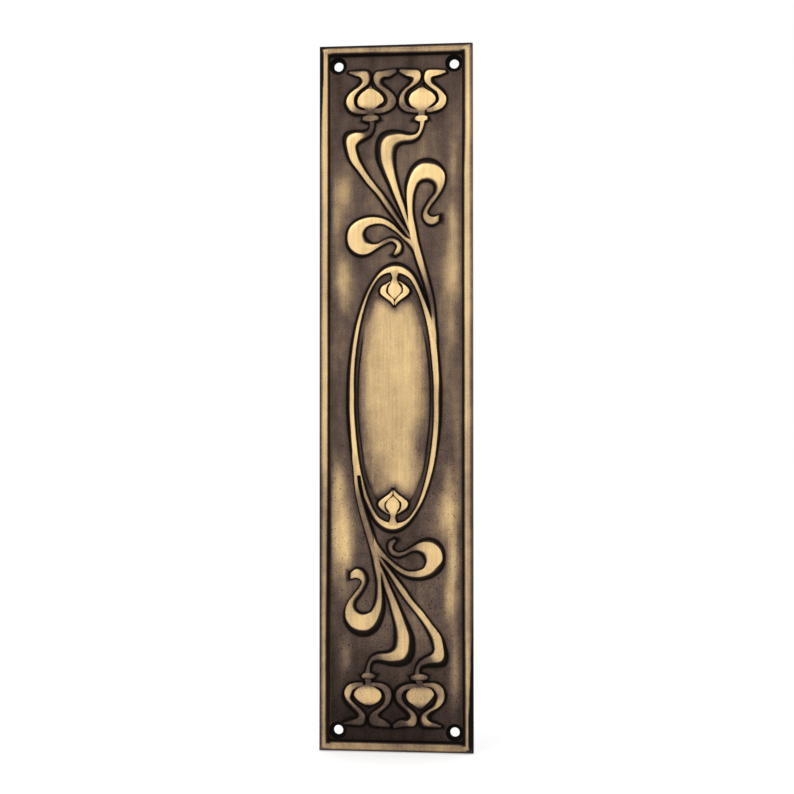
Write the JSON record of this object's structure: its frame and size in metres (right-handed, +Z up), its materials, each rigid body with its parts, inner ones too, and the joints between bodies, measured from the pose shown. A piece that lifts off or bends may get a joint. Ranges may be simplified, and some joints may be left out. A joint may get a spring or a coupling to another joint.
{
  "type": "finger plate",
  "caption": "Cast brass finger plate for a door, with whiplash stems, leaves and tulips in low relief, a domed oval panel, a raised rim and countersunk screw holes.",
  "frame": {"origin": "middle of the back plane, at the centre of the four screw holes", "axes": "+Z up along the length of the plate, +X across it to the right as seen from the front, the front faces -Y and the back that meets the door faces +Y"},
  "size_m": [0.0654, 0.0048, 0.3],
  "materials": {
    "plate": "aged cast brass, polished on the high parts, dark brown in the ground and corners"
  },
  "bodies": {
    "root": {"door_plate": "plate"}
  },
  "joints": []
}
